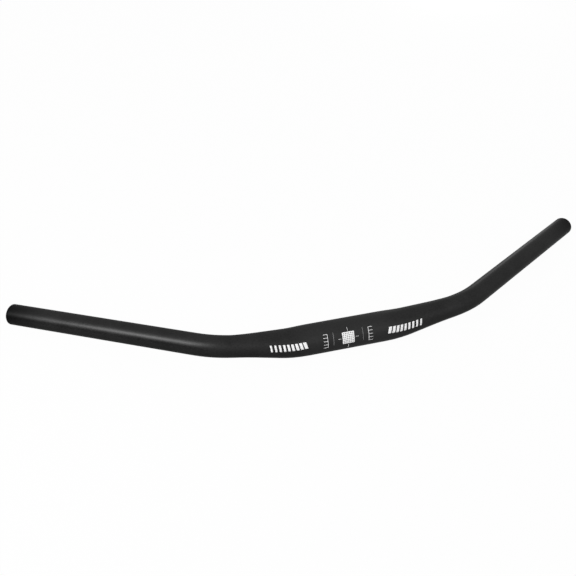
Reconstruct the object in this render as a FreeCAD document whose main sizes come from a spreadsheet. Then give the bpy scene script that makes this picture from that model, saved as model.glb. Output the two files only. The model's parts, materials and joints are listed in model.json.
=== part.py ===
# Swept-back bicycle handlebar: one butted alloy tube, swaged from a thick clamp zone to slim grips and bent
# four times. It lies as it comes to rest, on the underside of its clamp zone and on the two grip ends.
# Frame: origin at the middle of the clamp zone, +X along the clamp axis, +Y back to the rider, +Z up.

import FreeCAD
import Part
import Sketcher
import math
import os

# Driving dimensions: lengths in millimetres, angles in degrees, bend radii at the tube's centreline
SIZES = {
    "clamp_diameter": 31.8,      # the standard oversize stem clamp
    "clamp_wall": 2.6,           # thicker where the stem grips the tube
    "clamp_length": 76.0,        # straight zone of full diameter
    "swage_margin": 10.0,        # how far the swage starts before the rise bend, and ends after the arm
    "rise_bend_radius": 120.0,
    "rise_angle": 9.7,           # how steeply each arm climbs from the clamp zone
    "arm_length": 44.0,          # straight run between the rise bend and the sweep bend
    "sweep_bend_radius": 70.0,
    "back_sweep": 31.0,          # grip against clamp axis, seen from above
    "grip_drop": 4.3,            # how far the grips slope down from level
    "grip_diameter": 22.2,       # the standard size for grips and levers
    "grip_wall": 2.1,
    "grip_length": 213.0,        # straight run from the sweep bend to the cut end
    "end_round": 0.8,            # rounding of each end's outer rim
    "bore_chamfer": 0.5,         # deburring of each end's inner rim
}


# Expressions for places: a shift, a turn, and several moves, each made in the axes that the last one left
def shift(x, y, z):
    return f"placement(vector({x}; {y}; {z}); rotationz(0))"


def turn(axis, angle):
    return f"placement(vector(0; 0; 0); rotation{axis}({angle}))"


def chain(*moves):
    return " * ".join(moves)


# The grip's direction measured along the arm, backwards and upwards from it; the last two set the bend's roll
GRIP_LEVEL = "cos(sizes.grip_drop) * cos(sizes.back_sweep)"
GRIP_ALONG = f"cos(sizes.rise_angle) * {GRIP_LEVEL} - sin(sizes.rise_angle) * sin(sizes.grip_drop)"
GRIP_BACK = "cos(sizes.grip_drop) * sin(sizes.back_sweep)"
GRIP_UP = f"-sin(sizes.rise_angle) * {GRIP_LEVEL} - cos(sizes.rise_angle) * sin(sizes.grip_drop)"
SWEEP_BEND_ANGLE = f"acos({GRIP_ALONG})"
SWEEP_BEND_ROLL = f"atan2({GRIP_UP}; {GRIP_BACK})"

# The swage's length along the tube, as far as the rise bend's end and in all, and its share of the sweep bend
TO_RISE_END = "(sizes.swage_margin + sizes.rise_bend_radius * sizes.rise_angle * pi / 180)"
SWAGE_LENGTH = f"({TO_RISE_END} + sizes.arm_length + sizes.swage_margin)"
SWAGED_ANGLE = "(sizes.swage_margin / sizes.sweep_bend_radius * 180deg / pi)"

# Places along the tube's centreline, with X along the tube and Y and Z as near to back and up as they can be
CLAMP_END = shift("sizes.clamp_length / 2", 0, 0)
RISE_END = chain(CLAMP_END, shift("sizes.swage_margin", 0, "sizes.rise_bend_radius"),
                 turn("y", "-sizes.rise_angle"), shift(0, 0, "-sizes.rise_bend_radius"))
ARM_MIDDLE = chain(RISE_END, shift("sizes.arm_length / 2", 0, 0))
ARM_END = chain(RISE_END, shift("sizes.arm_length", 0, 0))
SWEEP_START = chain(ARM_END, turn("x", SWEEP_BEND_ROLL))
SWAGE_END = chain(SWEEP_START, shift(0, "sizes.sweep_bend_radius", 0), turn("z", SWAGED_ANGLE),
                  shift(0, "-sizes.sweep_bend_radius", 0), turn("x", f"-{SWEEP_BEND_ROLL}"))

# Turns that stand a sketch upright along the tube, and square across it
UPRIGHT = turn("x", 90)
ACROSS = chain(turn("y", 90), turn("z", 90))

# The sketcher's own numbers for the points of a line or arc, and for the X axis, which starts in the origin
START, END, CENTRE = range(1, 4)
X_AXIS = -START
ORIGIN = (X_AXIS, START)

document = FreeCAD.newDocument("handlebar")


def make_sheet():
    """One row for each size: its name beside its value, and the name again as the value's alias."""
    sheet = document.addObject("Spreadsheet::Sheet", "sizes")
    for row, (name, value) in enumerate(SIZES.items(), start=1):
        sheet.set(f"A{row}", name)
        sheet.set(f"B{row}", str(value))
        sheet.setAlias(f"B{row}", name)
    document.recompute()
    return sheet


def origin_plane(body, role):
    return next(plane for plane in body.Origin.OriginFeatures if plane.Role == role)


def add_sketch(body, name, place):
    """A sketch on the body's XY plane, moved from there to a place on the tube."""
    sketch = body.newObject("Sketcher::SketchObject", name)
    sketch.AttachmentSupport = [(origin_plane(body, "XY_Plane"), "")]
    sketch.MapMode = "FlatFace"
    sketch.setExpression("AttachmentOffset", place)
    return sketch


def add_size(sketch, name, expression, *constraint):
    """A dimension in the sketch, named and bound to the sheet."""
    index = sketch.addConstraint(Sketcher.Constraint(*constraint))
    sketch.renameConstraint(index, name)
    sketch.setExpression(f"Constraints.{name}", expression)


def add_ring(body, name, place, change):
    """The tube's section, two circles about its axis: the clamp's at a change of 0 and the grip's at 1."""
    sketch = add_sketch(body, name, chain(place, ACROSS))
    outside = f"sizes.clamp_diameter + (sizes.grip_diameter - sizes.clamp_diameter) * {change}"
    wall = f"(sizes.clamp_wall + (sizes.grip_wall - sizes.clamp_wall) * {change})"
    # drawn roughly first: the bound dimensions pull it to size
    for side, rough, expression in (("outside", 20.0, outside), ("inside", 15.0, f"{outside} - 2 * {wall}")):
        circle = sketch.addGeometry(Part.Circle(FreeCAD.Vector(), FreeCAD.Vector(0, 0, 1), rough / 2))
        sketch.addConstraint(Sketcher.Constraint("Coincident", circle, CENTRE, *ORIGIN))
        add_size(sketch, side, expression, "Diameter", circle, rough)
    return sketch


def swaged(length):
    """How much of the change of section is done so far along the swage, which starts and ends gently."""
    share = f"({length} / {SWAGE_LENGTH})"
    return f"{share}^2 * (3 - 2 * {share})"


def add_path(body, name, place, *legs):
    """Straight runs (a name and a length) and bends (a name, a radius and an angle), each tangent to the one
    before it, and the first to the sketch's X axis at its origin."""
    sketch = add_sketch(body, name, place)
    length, angle = 50.0, 0.3    # drawn roughly first: the bound dimensions pull it to size
    point, heading, before = FreeCAD.Vector(), 0.0, ORIGIN
    for part, *leg_sizes in legs:
        ahead = FreeCAD.Vector(math.cos(heading), math.sin(heading), 0)
        is_bend = len(leg_sizes) == 2
        if is_bend:
            centre = point + FreeCAD.Vector(-ahead.y, ahead.x, 0) * length
            circle = Part.Circle(centre, FreeCAD.Vector(0, 0, 1), length)
            first = heading - math.pi / 2
            leg = sketch.addGeometry(Part.ArcOfCircle(circle, first, first + angle))
            heading += angle
        else:
            leg = sketch.addGeometry(Part.LineSegment(point, point + ahead * length))
        sketch.addConstraint(Sketcher.Constraint("Tangent", *before, leg, START))
        if is_bend:
            add_size(sketch, f"{part}_radius", leg_sizes[0], "Radius", leg, length)
            add_size(sketch, f"{part}_angle", leg_sizes[1], "Angle", leg, angle)
        else:
            add_size(sketch, f"{part}_length", leg_sizes[0], "Distance", leg, length)
        before = (leg, END)
        point = sketch.getPoint(*before)
    return sketch


def end_rims(shape, radius):
    """The circular edges of this radius at the two ends, told by how far out to the sides they lie."""
    reach = shape.BoundBox.XMax - 2 * radius
    rims = []
    for number, edge in enumerate(shape.Edges, start=1):
        curve = edge.Curve
        is_ring = isinstance(curve, Part.Circle) and abs(curve.Radius - radius) < 0.01
        if is_ring and abs(curve.Center.x) > reach:
            rims.append(f"Edge{number}")
    return rims


sizes = make_sheet()
bar = document.addObject("PartDesign::Body", "handlebar")
bar.Label = "handlebar"

# The clamp zone: a straight tube about the origin
middle_ring = add_ring(bar, "middle_ring", shift(0, 0, 0), 0)
clamp_zone = bar.newObject("PartDesign::Pad", "clamp_zone")
clamp_zone.Profile = middle_ring
clamp_zone.Midplane = True
clamp_zone.setExpression("Length", "sizes.clamp_length")

# The tube's centreline on one side: the rise bend lifts it, then the sweep bend turns it back and down
rise_path = add_path(bar, "rise_path", chain(CLAMP_END, UPRIGHT),
                     ("margin", "sizes.swage_margin"),
                     ("rise", "sizes.rise_bend_radius", "sizes.rise_angle"),
                     ("arm", "sizes.arm_length"))
sweep_path = add_path(bar, "sweep_path", SWEEP_START,
                      ("swaged", "sizes.sweep_bend_radius", SWAGED_ANGLE),
                      ("sweep", "sizes.sweep_bend_radius", f"{SWEEP_BEND_ANGLE} - {SWAGED_ANGLE}"),
                      ("grip", "sizes.grip_length"))
document.recompute()

# The swage: four sections along the arm take the tube smoothly from the clamp's ring to the grip's
swage_path = bar.newObject("PartDesign::SubShapeBinder", "swage_path")
swage_path.Support = [(rise_path, ("Edge1", "Edge2", "Edge3")), (sweep_path, ("Edge1",))]
clamp_ring = add_ring(bar, "clamp_ring", CLAMP_END, 0)
rise_ring = add_ring(bar, "rise_ring", RISE_END, swaged(TO_RISE_END))
arm_ring = add_ring(bar, "arm_ring", ARM_MIDDLE, swaged(f"({TO_RISE_END} + sizes.arm_length / 2)"))
grip_ring = add_ring(bar, "grip_ring", SWAGE_END, 1)
document.recompute()
swage = bar.newObject("PartDesign::AdditivePipe", "swage")
swage.Profile = clamp_ring
swage.Spine = swage_path
swage.Transformation = "Multisection"
swage.Sections = [rise_ring, arm_ring, grip_ring]
document.recompute()

# A grip: through the rest of the sweep bend, then straight to its cut end
grip = bar.newObject("PartDesign::AdditivePipe", "grip")
grip.Profile = grip_ring
grip.Spine = (sweep_path, ["Edge2", "Edge3"])
document.recompute()

# The same swage and grip on the other side
both_sides = bar.newObject("PartDesign::Mirrored", "both_sides")
both_sides.Originals = [swage, grip]
both_sides.MirrorPlane = (origin_plane(bar, "YZ_Plane"), [""])
bar.Tip = both_sides
document.recompute()

# The cut ends: outer rims rounded so that grips slide on, inner rims deburred
rounded_ends = bar.newObject("PartDesign::Fillet", "rounded_ends")
rounded_ends.Base = (both_sides, end_rims(both_sides.Shape, sizes.grip_diameter / 2))
rounded_ends.setExpression("Radius", "sizes.end_round")
bar.Tip = rounded_ends
document.recompute()
deburred_bores = bar.newObject("PartDesign::Chamfer", "deburred_bores")
deburred_bores.Base = (rounded_ends, end_rims(rounded_ends.Shape, sizes.grip_diameter / 2 - sizes.grip_wall))
deburred_bores.setExpression("Size", "sizes.bore_chamfer")
bar.Tip = deburred_bores
document.recompute()

for item in document.Objects:
    if "Invalid" in item.State or "Error" in item.State:
        raise RuntimeError(f"{item.Name} did not build: {item.State}")
if bar.Shape.isNull() or not bar.Shape.isValid() or len(bar.Shape.Solids) != 1:
    raise RuntimeError("the bar is not one sound solid")

os.makedirs("parts", exist_ok=True)
solid = bar.Shape.Solids[0]
solid.exportStep(f"parts/{bar.Label}.step")
volume = solid.Volume / 1000
middle = solid.CenterOfMass
print(f"{bar.Label}: {volume:.1f} cm3, centre of mass {middle.x:.2f} {middle.y:.2f} {middle.z:.2f}")
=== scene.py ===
# %% [markdown]
# # A satin black bicycle handlebar
#
# The bar is one aluminium tube: thick in the middle where the stem clamps it, swaged down to slim
# grips, and bent four times. Its shape was measured and modelled in CAD, so this file only dresses it:
# a satin black finish, the white print on its front, and the table, light and camera of a product
# photograph.

import json
import math

import bmesh
import bpy
from mathutils import Matrix, Vector


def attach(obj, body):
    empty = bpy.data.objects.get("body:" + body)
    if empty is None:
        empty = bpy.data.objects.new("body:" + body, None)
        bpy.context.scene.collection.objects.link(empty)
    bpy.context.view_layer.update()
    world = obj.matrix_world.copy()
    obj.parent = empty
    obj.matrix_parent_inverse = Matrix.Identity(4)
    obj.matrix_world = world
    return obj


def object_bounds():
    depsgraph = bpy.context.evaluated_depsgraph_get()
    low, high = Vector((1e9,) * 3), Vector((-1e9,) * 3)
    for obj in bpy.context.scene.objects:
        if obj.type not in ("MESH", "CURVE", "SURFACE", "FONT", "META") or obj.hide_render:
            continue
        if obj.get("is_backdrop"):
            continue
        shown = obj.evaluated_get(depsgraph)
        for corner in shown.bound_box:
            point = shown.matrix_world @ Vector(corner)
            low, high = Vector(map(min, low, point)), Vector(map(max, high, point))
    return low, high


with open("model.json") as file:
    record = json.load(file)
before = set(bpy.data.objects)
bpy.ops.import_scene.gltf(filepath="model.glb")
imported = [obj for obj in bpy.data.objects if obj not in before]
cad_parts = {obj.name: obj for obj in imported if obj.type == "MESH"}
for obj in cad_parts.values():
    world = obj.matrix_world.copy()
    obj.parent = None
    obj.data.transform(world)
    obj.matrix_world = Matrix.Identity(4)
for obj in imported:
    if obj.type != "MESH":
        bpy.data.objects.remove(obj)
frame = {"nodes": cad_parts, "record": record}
cad_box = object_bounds()
cad_size = cad_box[1] - cad_box[0]
bar = frame["nodes"]["handlebar"]
scene = bpy.context.scene
scene.view_settings.view_transform = "Standard"
print("bar:", len(bar.data.polygons), "faces,", [round(side, 4) for side in cad_size], "m")

# %% [markdown]
# ## The camera
#
# The photograph looks down on the front of the bar from a little to its left, and from so near that the
# left grip is plainly thicker than the right. A camera can be set by eye, but here its angles, distance
# and lens were worked out from the bar's outline, so they are written down as they came. The camera's
# own axes are its right, its up and its back, and the three together are the columns of its rotation.

# %% Set up the camera
AZIMUTH = math.radians(-14.457)
ELEVATION = math.radians(40.167)
DISTANCE = 0.62603
SIDE_STEP = -0.05829
UP_STEP = 0.04589
LENS = 38.268

towards_camera = Vector((math.sin(AZIMUTH), -math.cos(AZIMUTH), 0.0))
right = Vector((math.cos(AZIMUTH), math.sin(AZIMUTH), 0.0))
back = towards_camera * math.cos(ELEVATION) + Vector((0.0, 0.0, math.sin(ELEVATION)))
up = back.cross(right)

camera = bpy.data.objects.new("camera", bpy.data.cameras.new("camera"))
camera.data.sensor_width = 36.0
camera.data.lens = LENS
camera.data.clip_start = 0.01
camera.matrix_world = Matrix((right, up, back)).transposed().to_4x4()
camera.location = back * DISTANCE + right * SIDE_STEP + up * UP_STEP
scene.collection.objects.link(camera)
scene.camera = camera
print("camera at", [round(value, 4) for value in camera.location], "m")

# %% [markdown]
# ## Arithmetic for shaders
#
# A finish is a small sum: this noise times that, plus a little more inside the bore. Drawn as nodes
# such a sum is hard to read, so one class wraps a node's output and lets Python's own operators add the
# Math nodes. Its `node` method adds any other node: the settings go in first, because some of them
# change the sockets.

# %% Wrap a socket
class Wire:
    """The output of a shader node, ready for arithmetic."""

    def __init__(self, socket):
        self.socket = socket

    @classmethod
    def node(cls, tree, kind, settings=None, inputs=None, output=0):
        """Adds a node, sets it up, gives its inputs values or links, and wraps one of its outputs."""
        made = tree.nodes.new(kind)
        for name, value in (settings or {}).items():
            setattr(made, name, value)
        cls.plug(made, inputs or {})
        return cls(made.outputs[output])

    @classmethod
    def plug(cls, made, inputs):
        """Gives a node's inputs their values or links."""
        for name, value in inputs.items():
            if isinstance(value, cls):
                made.id_data.links.new(value.socket, made.inputs[name])
            else:
                made.inputs[name].default_value = value

    @property
    def tree(self):
        return self.socket.id_data

    def math(self, operation, first, second):
        return self.node(self.tree, "ShaderNodeMath", {"operation": operation}, {0: first, 1: second})

    def __add__(self, other):
        return self.math("ADD", self, other)

    def __sub__(self, other):
        return self.math("SUBTRACT", self, other)

    def __rsub__(self, other):
        return self.math("SUBTRACT", other, self)

    def __mul__(self, other):
        return self.math("MULTIPLY", self, other)

    __radd__ = __add__
    __rmul__ = __mul__


operators = [name.strip("_") for name in vars(Wire) if name.strip("_")[-3:] in ("add", "sub", "mul")]
print("a wire knows:", ", ".join(operators))

# %% [markdown]
# ## Where the finish changes, and where shade is painted
#
# The finish differs in three places: the clamp zone is a little rougher and a shade greyer; the bores are
# duller; and the sawn ends themselves show the rings of the tool that faced them. Two more masks paint
# shade into the tone: towards the ends the tone darkens, which is painted shade, and the outer edge of
# each end is painted near-black, a painted dark reflection. They could be separate material slots, but
# the changes are gradual, so they are masks. All of them come from three lengths: how far a point lies
# from the middle of the bar, how far along the grip from its end, and how far from the grip's axis. They
# are worked out from the mounts that the CAD model states, and taking the absolute value of x first makes
# one sum serve both grips.

# %% Read the mounts
END_ROUND = 0.0008

mounts = {mount["name"]: mount for mount in frame["record"]["mounts"]}
grip = mounts["left_grip"]
GRIP_RADIUS = grip["dims"]["r_mm"] / 1000
GRIP_LENGTH = grip["dims"]["length_mm"] / 1000
BORE_RADIUS = mounts["left_end_bore"]["dims"]["r_mm"] / 1000
grip_direction = Vector(grip["axis"])
grip_end = Vector(grip["pos_m"]) + grip_direction * (GRIP_LENGTH / 2 + END_ROUND)
print("grip ends at", [round(value * 1000, 2) for value in grip_end], "mm")

# %% Measure along the grips
def new_finish(name):
    """A material with its node tree, its shader, and the place on the object in metres."""
    material = bpy.data.materials.new(name)
    material.use_nodes = True
    tree = material.node_tree
    shader = tree.nodes["Principled BSDF"]
    place = Wire.node(tree, "ShaderNodeTexCoord", output="Object")
    return material, tree, shader, place


def vector_math(operation, first, second=None, output="Vector"):
    """A Vector Math node, which takes places and directions as they are."""
    inputs = {0: first} if second is None else {0: first, 1: second}
    return Wire.node(first.tree, "ShaderNodeVectorMath", {"operation": operation}, inputs, output)


satin, tree, shader, place = new_finish("satin_black_anodise")
x_part = Wire.node(tree, "ShaderNodeSeparateXYZ", inputs={"Vector": place})
parts = x_part.socket.node.outputs
from_middle = x_part.math("ABSOLUTE", x_part, 0.0)
mirrored = Wire.node(tree, "ShaderNodeCombineXYZ", inputs={
    "X": from_middle, "Y": Wire(parts["Y"]), "Z": Wire(parts["Z"])})
from_end = vector_math("SUBTRACT", mirrored, grip_end)
along = vector_math("DOT_PRODUCT", from_end, grip_direction, output="Value")
from_axis = vector_math("LENGTH", vector_math("CROSS_PRODUCT", from_end, grip_direction), output="Value")
print("places measured with", len(tree.nodes), "nodes")

# %% Mask the places
ROUNDING = GRIP_RADIUS - END_ROUND
CLAMP_HALF = mounts["stem_clamp_zone"]["dims"]["length_mm"] / 2000
CLAMP_FADE = 0.020
BORE_FADE = 0.004
PAINTED_SHADE_LENGTH = 0.050
RIM_DEPTH = 0.0035
FACE_DEPTH = 0.0005


def step(value, low, high):
    """A mask that goes smoothly from 0 at low to 1 at high."""
    return Wire.node(value.tree, "ShaderNodeMapRange", {"interpolation_type": "SMOOTHSTEP"},
                     {"Value": value, "From Min": low, "From Max": high})


outside = step(from_axis, ROUNDING - 0.0001, ROUNDING + 0.0002)
in_grip = step(along, -GRIP_LENGTH, BORE_FADE - GRIP_LENGTH)
in_bore = in_grip * (1 - step(from_axis, BORE_RADIUS, BORE_RADIUS + 0.0004))
# Painted shade: this mask darkens the tone over the last 50 mm of each grip.
painted_shade_near_end = step(along, -PAINTED_SHADE_LENGTH, 0.002)
in_clamp = 1 - step(from_middle, CLAMP_HALF - 0.004, CLAMP_HALF + CLAMP_FADE)
# Painted dark reflection: this mask paints the outer edge at each end near-black.
painted_dark_rim = step(along, -RIM_DEPTH, -0.0010) * outside
on_face = step(along, -FACE_DEPTH, -0.0001) * (1 - outside)
print("bore up to", BORE_RADIUS * 1000, "mm from the axis, rounding from", round(ROUNDING * 1000, 2), "mm")

# %% [markdown]
# ## The satin black finish
#
# The tube is bead blasted and then dyed black while it is anodised, which gives a fine even grain and a
# soft sheen. Paint would look wetter and a polished tube would mirror the room. The grain is a few
# hundredths of a millimetre deep at most, far too fine to model, so a noise drives a Bump node. A
# coarser noise speckles the tone, and a wide one makes the sheen a little uneven, as handling and the
# dye bath do.
#
# Under the dye the surface is metal, so it is shaded as a very dark metal: its tone is how much it
# mirrors from straight on. A metal usually mirrors far more at a glancing angle, which would draw white
# lines along the tube, and the rough dyed layer doesn't, so the Specular Tint, a metal's tone at its
# edge, is held down.

# %% Mix the finish
def noise(place, scale, detail):
    return Wire.node(place.tree, "ShaderNodeTexNoise",
                     inputs={"Vector": place, "Scale": scale, "Detail": detail})


def blend(factor, first, second):
    """One colour going over into another as the factor goes from 0 to 1."""
    return Wire.node(factor.tree, "ShaderNodeMix", {"data_type": "RGBA"},
                     {0: factor, 6: first, 7: second}, output=2)


def grey(value):
    return (value, value, value, 1.0)


grain = noise(place, 2600.0, 2.0)
speckle = noise(place, 620.0, 3.0)
mottle = noise(place, 55.0, 4.0)
rings = Wire.node(tree, "ShaderNodeTexNoise", {"noise_dimensions": "1D"},
                  {"W": from_axis, "Scale": 9000.0, "Detail": 1.0})
tone = blend(mottle * 0.4 + speckle * 0.6, grey(0.010), grey(0.040))
tone = blend(in_clamp * 0.32, tone, grey(0.040))
# Painted shade: the tone darkens towards the ends.
tone = blend(painted_shade_near_end * 0.8, tone, grey(0.006))
tone = blend(in_bore, tone, grey(0.03))
# Painted dark reflection on the outer edge of each end.
tone = blend(painted_dark_rim, tone, grey(0.005))
tone = blend(on_face, tone, blend(rings, grey(0.02), grey(0.07)))
roughness = 0.33 + mottle * 0.07 + speckle * 0.04 + grain * 0.05 + in_clamp * 0.04 + in_bore * 0.2
bump = Wire.node(tree, "ShaderNodeBump", output="Normal", inputs={
    "Strength": 0.25, "Distance": 0.00003, "Height": grain * (1 - on_face) + rings * on_face})
Wire.plug(shader, {"Base Color": tone, "Roughness": roughness, "Normal": bump, "Metallic": 1.0,
                   "Specular Tint": grey(0.6)})
bar.material_slots[0].material = satin
print("satin finish:", len(tree.nodes), "nodes on", len(bar.material_slots), "slot")

# %% [markdown]
# ## Printing on a tube
#
# The print is screen printed: a film of white ink, laid on the front of the tube where the rider and
# the mechanic see it. It could be painted with a mask in the finish, but its edges would then be only
# as crisp as the texture they are baked to. Here each mark is a thin solid, a tenth of a millimetre
# thick. It is drawn flat on a grid of cells, with x along the bar and y round it, and each corner is
# then wrapped on to the tube and snapped to the bar's own mesh.
#
# The wrapping follows the tube's own making: a straight clamp zone, a bend that lifts the arm, a
# straight arm, and a swage that narrows it smoothly all the way from the clamp zone to a little past
# the arm.

# %% Find a point on the tube
CLAMP_RADIUS = mounts["stem_clamp_zone"]["dims"]["r_mm"] / 1000
SWAGE_MARGIN = 0.010
RISE_RADIUS = 0.120
RISE_ANGLE = math.radians(9.7)
ARM_LENGTH = 0.044
SWAGE_LENGTH = RISE_RADIUS * RISE_ANGLE + ARM_LENGTH + 2 * SWAGE_MARGIN
BEND_START = CLAMP_HALF + SWAGE_MARGIN
INK_FILM = 0.00005


def tube_radius(x):
    """The tube's radius at x along its centreline from the middle, smooth from clamp zone to grip."""
    share = min(max((abs(x) - CLAMP_HALF) / SWAGE_LENGTH, 0.0), 1.0)
    return CLAMP_RADIUS - (CLAMP_RADIUS - GRIP_RADIUS) * share * share * (3 - 2 * share)


def on_tube(x, y):
    """The point x along the tube's centreline from its middle and y round it, up from the front."""
    past = max(abs(x) - BEND_START, 0.0)
    bend = min(past / RISE_RADIUS, RISE_ANGLE)
    run = past - RISE_RADIUS * bend
    centre = Vector((abs(x) - past + RISE_RADIUS * math.sin(bend) + run * math.cos(bend), 0.0,
                     RISE_RADIUS * (1 - math.cos(bend)) + run * math.sin(bend)))
    turn = y / tube_radius(x)
    outward = Vector((-math.sin(bend) * math.sin(turn), -math.cos(turn), math.cos(bend) * math.sin(turn)))
    mirror = Vector((math.copysign(1.0, x), 1.0, 1.0))
    near = (centre + outward * tube_radius(x)) * mirror
    spot = bar.closest_point_on_mesh(near)[1]
    return spot + outward * mirror * INK_FILM


print("front of the tube:", [round(value * 1000, 2) for value in on_tube(0.0, 0.0)], "mm")

# %% Draw cells of ink
LONGEST_CELL = 0.0007


def finer(lines):
    """The same grid lines with more between them, so that cells are short enough to follow the tube."""
    split = [lines[0]]
    for low, high in zip(lines, lines[1:]):
        count = math.ceil((high - low) / LONGEST_CELL)
        split += [low + (high - low) * (number + 1) / count for number in range(count)]
    return split


def inked(xs, ys, has_ink):
    """The cells between the lines xs and ys where has_ink(column, row) says so, as corners and faces."""
    fine_xs = finer(xs)
    fine_ys = finer(ys)
    corners = {}
    faces = []
    for left, right_side in zip(fine_xs, fine_xs[1:]):
        column = sum(line <= left + 1e-9 for line in xs) - 1
        for low, high in zip(fine_ys, fine_ys[1:]):
            row = sum(line <= low + 1e-9 for line in ys) - 1
            if has_ink(column, row):
                loop = [(left, low), (right_side, low), (right_side, high), (left, high)]
                faces.append([corners.setdefault(corner, len(corners)) for corner in loop])
    return list(corners), faces


print("cells up to", LONGEST_CELL * 1000, "mm long")

# %% Lay sheets of ink on the bar
PRINT_SHIFT = -0.0014


def lay_ink(name, sheets, ink):
    """One printed mark: its flat sheets wrapped on to the tube, given a thickness and the ink."""
    shape = bmesh.new()
    for corners, faces in sheets:
        points = [shape.verts.new(on_tube(x + PRINT_SHIFT, y)) for x, y in corners]
        for face in faces:
            shape.faces.new([points[number] for number in face])
    bmesh.ops.recalc_face_normals(shape, faces=shape.faces)
    for face in shape.faces:
        face.smooth = True
    mesh = bpy.data.meshes.new(name)
    shape.to_mesh(mesh)
    shape.free()
    mesh.materials.append(ink)
    mark = bpy.data.objects.new(name, mesh)
    scene.collection.objects.link(mark)
    film = mark.modifiers.new("film", "SOLIDIFY")
    film.thickness = INK_FILM * 2
    film.offset = 0.0
    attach(mark, "root")
    print(name, len(mesh.polygons), "cells")


print("print sits", PRINT_SHIFT * 1000, "mm off the middle")

# %% [markdown]
# ## The inks
#
# White ink over black is never quite even: the squeegee leaves it a little thinner in places, and the
# blasted grain shows through as fine pits. A noise mixes two whites for the first and a Bump gives the
# second. The two lines that show where the stem's faces sit are printed in a thin grey.

# %% Mix the inks
def new_ink(name, thin, full):
    material, tree, shader, place = new_finish(name)
    cover = noise(place, 900.0, 3.0)
    pits = noise(place, 2600.0, 2.0)
    bump = Wire.node(tree, "ShaderNodeBump", output="Normal",
                     inputs={"Strength": 0.2, "Distance": 0.00002, "Height": pits})
    Wire.plug(shader, {"Base Color": blend(step(cover, 0.25, 0.6), grey(thin), grey(full)),
                       "Roughness": 0.42 + cover * 0.15, "Normal": bump})
    print(name, "from", thin, "where thin to", full)
    return material


white_ink = new_ink("white_ink", 0.62, 0.9)
grey_ink = new_ink("grey_ink", 0.2, 0.3)

# %% [markdown]
# ## The marks in the middle
#
# The marks help to set the bar in its stem. A square of fine hatching shows the middle, with a tick on
# each of its sides; a line on each side shows where the stem's faces come; and outside them two scales
# like combs show how far the bar is rolled. All of them sit on one height, a little above the front of
# the tube.

# %% Print the middle square
MIDDLE = 0.0074
HATCH_LINES = 7
HATCH_WIDTH = 0.0010
HATCH_GAP = 0.0009


def stripes(start, count, width, gap):
    """Grid lines for so many stripes, a gap apart."""
    lines = []
    for number in range(count):
        lines += [start + number * (width + gap), start + number * (width + gap) + width]
    return lines


hatch_half = (HATCH_LINES * (HATCH_WIDTH + HATCH_GAP) - HATCH_GAP) / 2
hatch_xs = stripes(-hatch_half, HATCH_LINES, HATCH_WIDTH, HATCH_GAP)
hatch_ys = stripes(MIDDLE - hatch_half, HATCH_LINES, HATCH_WIDTH, HATCH_GAP)
hatch = inked(hatch_xs, hatch_ys, lambda column, row: column % 2 == 0 or row % 2 == 0)
lay_ink("middle_hatch", [hatch], white_ink)

# %% Print the ticks and stem lines
LINE = 0.00042
HALF_TICK = LINE / 3
TICK_INNER = 0.0075
TICK_OUTER = 0.0107
TICK_ABOVE = (0.0143, 0.0184)
TICK_BELOW = (-0.0057, -0.0001)
STEM_HALF = 0.0154
STEM_LINE = (0.0017, 0.0153)


def bar_of_ink(x0, x1, y0, y1):
    """A plain bar of ink between two places along the tube and two round it."""
    return inked([x0, x1], [y0, y1], lambda column, row: True)


ticks = [
    bar_of_ink(-HALF_TICK, HALF_TICK, *TICK_ABOVE),
    bar_of_ink(-HALF_TICK, HALF_TICK, *TICK_BELOW),
    bar_of_ink(-TICK_OUTER, -TICK_INNER, MIDDLE - HALF_TICK, MIDDLE + HALF_TICK),
    bar_of_ink(TICK_INNER, TICK_OUTER, MIDDLE - HALF_TICK, MIDDLE + HALF_TICK)]
lay_ink("middle_ticks", ticks, white_ink)
lines = [bar_of_ink(x - HALF_TICK, x + HALF_TICK, *STEM_LINE) for x in (-STEM_HALF, STEM_HALF)]
lay_ink("stem_lines", lines, grey_ink)

# %% Print the combs
COMB_SPINE = 0.02125
COMB_TIP = 0.02575
COMB_BOTTOM = 0.0003
COMB_TEETH = 5
COMB_GAP = 0.0031

comb_ys = stripes(COMB_BOTTOM, COMB_TEETH, LINE, COMB_GAP)
comb_right = inked([COMB_SPINE, COMB_SPINE + LINE, COMB_TIP], comb_ys,
                   lambda column, row: column == 0 or row % 2 == 0)
comb_left = inked([-COMB_TIP, -COMB_SPINE - LINE, -COMB_SPINE], comb_ys,
                  lambda column, row: column == 1 or row % 2 == 0)
lay_ink("roll_scales", [comb_right, comb_left], white_ink)

# %% [markdown]
# ## The bands beside the clamp
#
# Each arm carries a plain band of print: a row of slanted dashes that get narrower outwards. They could
# be an array of one dash, but each dash differs in width and bends with the tube, so a loop draws them
# one by one. The two bands mirror each other.

# %% Print the bands
BAND_START = 0.0427
BAND_END = 0.0832
BAND_HEIGHT = 0.0070
BAND_MIDDLE = 0.0072
BAND_SLOPE = 0.052
DASHES = 9
DASH_SHARE = 0.74
DASH_LOSS = 0.04
SLANT = 0.25


def band(side):
    """The sheets of one band: -1 is the left side and 1 the right."""
    sheets = []
    pitch = (BAND_END - BAND_START) / DASHES
    for number in range(DASHES):
        share = DASH_SHARE - DASH_LOSS * number
        x = BAND_START + number * pitch
        y = BAND_MIDDLE - BAND_SLOPE * (x - BAND_START)
        corners, faces = bar_of_ink(0.0, pitch * share, -BAND_HEIGHT / 2, BAND_HEIGHT / 2)
        sheets.append(([(side * (x + dx + SLANT * dy), y + dy) for dx, dy in corners], faces))
    return sheets


lay_ink("band_left", band(-1), white_ink)
lay_ink("band_right", band(1), white_ink)

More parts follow.
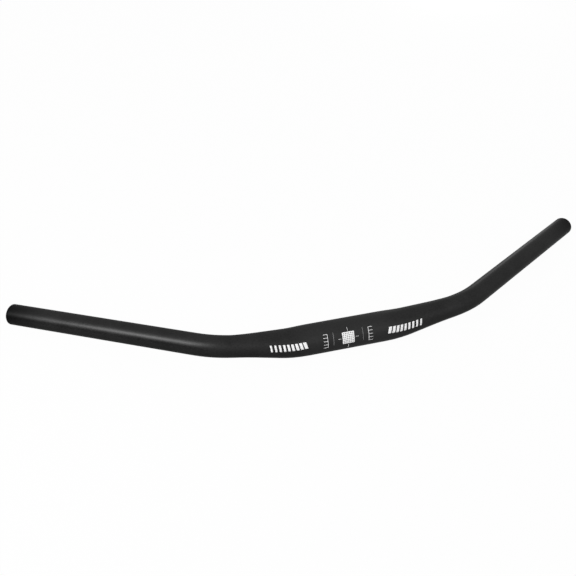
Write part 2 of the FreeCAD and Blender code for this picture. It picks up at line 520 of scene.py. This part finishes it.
# %% [markdown]
# ## The table
#
# The bar lies on a white table, on the underside of its clamp zone and on its two ends. The table is a
# wide disc. For the camera most of its colour is plain white light of its own, so that it looks like
# the white page of a catalogue; the rest is a pale matt surface that keeps the bar's soft shadow.
#
# The underside of the tube mirrors the table. In the photograph that edge is light under the clamp zone
# and the right grip, and dark under the left one, so in reflections the page is bright towards the
# right only.

# %% Mix the white page
PAGE = 0.975
MIRRORED_LEFT = 0.05
MIRRORED_RIGHT = 0.6
BRIGHTER_FROM = -0.12
BRIGHTER_TO = 0.02


def seen(tree, direct, mirrored):
    """How much of the page shows: straight or through glass, in a reflection, and 0 for lighting."""
    rays = Wire.node(tree, "ShaderNodeLightPath")
    paths = rays.socket.node.outputs
    straight = rays.math("MAXIMUM", Wire(paths["Is Camera Ray"]), Wire(paths["Is Transmission Ray"]))
    return straight * direct + Wire(paths["Is Glossy Ray"]) * mirrored


white_top, tree, shader, place = new_finish("white_table")
Wire.plug(shader, {"Base Color": blend(noise(place, 8.0, 2.0), grey(0.53), grey(0.57)), "Roughness": 0.9})
page = Wire.node(tree, "ShaderNodeEmission", inputs={"Color": grey(1.0), "Strength": 1.0})
across = Wire.node(tree, "ShaderNodeSeparateXYZ", inputs={"Vector": place})
to_right = step(across, BRIGHTER_FROM, BRIGHTER_TO)
mirrored_page = MIRRORED_LEFT + (MIRRORED_RIGHT - MIRRORED_LEFT) * to_right
shown = Wire.node(tree, "ShaderNodeMixShader",
                  inputs={0: seen(tree, PAGE, mirrored_page), 1: Wire(shader.outputs[0]), 2: page})
Wire.plug(tree.nodes["Material Output"], {"Surface": shown})
print("page shows at", PAGE, "and mirrors at", MIRRORED_LEFT, "to", MIRRORED_RIGHT)

# %% Lay the table
TABLE_RADIUS = 8.0

shape = bmesh.new()
bmesh.ops.create_circle(shape, cap_ends=True, segments=96, radius=TABLE_RADIUS)
table = bpy.data.objects.new("table", bpy.data.meshes.new("table"))
shape.to_mesh(table.data)
shape.free()
table.data.materials.append(white_top)
table.location.z = -CLAMP_RADIUS
scene.collection.objects.link(table)
table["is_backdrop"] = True
print("table at", round(table.location.z * 1000, 2), "mm")

# %% [markdown]
# ## The light
#
# A black tube is lit by what it mirrors. The surroundings are an even white, as in a light tent, and
# the tube's edges pick that up by themselves. To the camera the tent is as white as the table, so no
# horizon shows.
#
# A lamp only shows on such a tube where the tube mirrors it into the camera, so each lamp has a place
# of its own: one draws the bright streak along the left grip and a second carries it into the bend, a
# panel lifts the front of the clamp zone, and a low one behind draws the thin bright edge along the
# right grip. A black card does the opposite. It stands on the left, where the tube mirrors it just
# below the streak, and keeps that side of the grip dark. Neither the lamps nor the card show to the
# camera.

# %% Light the tent
TENT = 0.74
TENT_SEEN = 0.986

world = bpy.data.worlds.new("tent")
scene.world = world
world.use_nodes = True
tree = world.node_tree
strength = TENT + seen(tree, TENT_SEEN - TENT, 1 - TENT)
Wire.plug(tree.nodes["Background"], {"Color": grey(1.0), "Strength": strength})
print("tent lights at", TENT, "and shows at", TENT_SEEN)

# %% Hang the lamps
def hang_lamp(name, aim, direction, distance, size, watts):
    """A soft square lamp that faces a point from a direction."""
    lamp = bpy.data.objects.new(name, bpy.data.lights.new(name, "AREA"))
    lamp.data.shape = "SQUARE"
    lamp.data.size = size
    lamp.data.energy = watts
    away = Vector(direction).normalized()
    lamp.rotation_euler = away.to_track_quat("Z", "Y").to_euler()
    lamp.location = Vector(aim) + away * distance
    lamp.visible_camera = False
    scene.collection.objects.link(lamp)
    print(name, "at", [round(value, 2) for value in lamp.location], "m")


hang_lamp("left_lamp", aim=(-0.190, 0.035, 0.007), direction=(-0.750, -0.262, 0.596),
          distance=0.88, size=0.14, watts=4.3)
hang_lamp("bend_lamp", aim=(-0.145, 0.009, 0.011), direction=(-0.54, -0.42, 0.73),
          distance=0.88, size=0.14, watts=2.0)
hang_lamp("front_panel", aim=(0.0, 0.0, 0.0), direction=(0.2, -0.8, 0.56),
          distance=1.3, size=0.8, watts=0.9)
hang_lamp("edge_lamp", aim=(0.240, 0.065, 0.003), direction=(0.38, 0.92, 0.08),
          distance=1.2, size=0.2, watts=1.0)

# %% Stand the black card
CARD_WIDTH = 0.9
CARD_HEIGHT = 0.22
CARD_LIFT = 0.0005
CARD_FOOT = Vector((-0.73, -0.20, CARD_LIFT - CLAMP_RADIUS))
CARD_FACING = Vector((0.89, 0.45, 0.0))

felt, tree, shader, place = new_finish("black_felt")
Wire.plug(shader, {"Base Color": blend(noise(place, 400.0, 2.0), grey(0.006), grey(0.014)),
                   "Roughness": 0.9, "Specular IOR Level": 0.1})
upright = Vector((0.0, 0.0, 1.0))
side = CARD_FACING.cross(upright).normalized() * CARD_WIDTH / 2
top = CARD_FOOT + upright * CARD_HEIGHT
card = bpy.data.objects.new("black_card", bpy.data.meshes.new("black_card"))
card.data.from_pydata([CARD_FOOT - side, CARD_FOOT + side, top + side, top - side], [], [(0, 1, 2, 3)])
card.data.materials.append(felt)
card.visible_camera = False
scene.collection.objects.link(card)
card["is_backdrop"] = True
print("card at", [round(value, 2) for value in CARD_FOOT], "m")

# %% [markdown]
# ## The size with the ink
#
# The ink must not make the bar bigger than it was measured to be, so the growth of its box is printed.

# %% Print the growth
visual_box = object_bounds()
growth = visual_box[1] - visual_box[0] - cad_size
print("grown by", [round(value * 1000, 3) for value in growth], "mm")
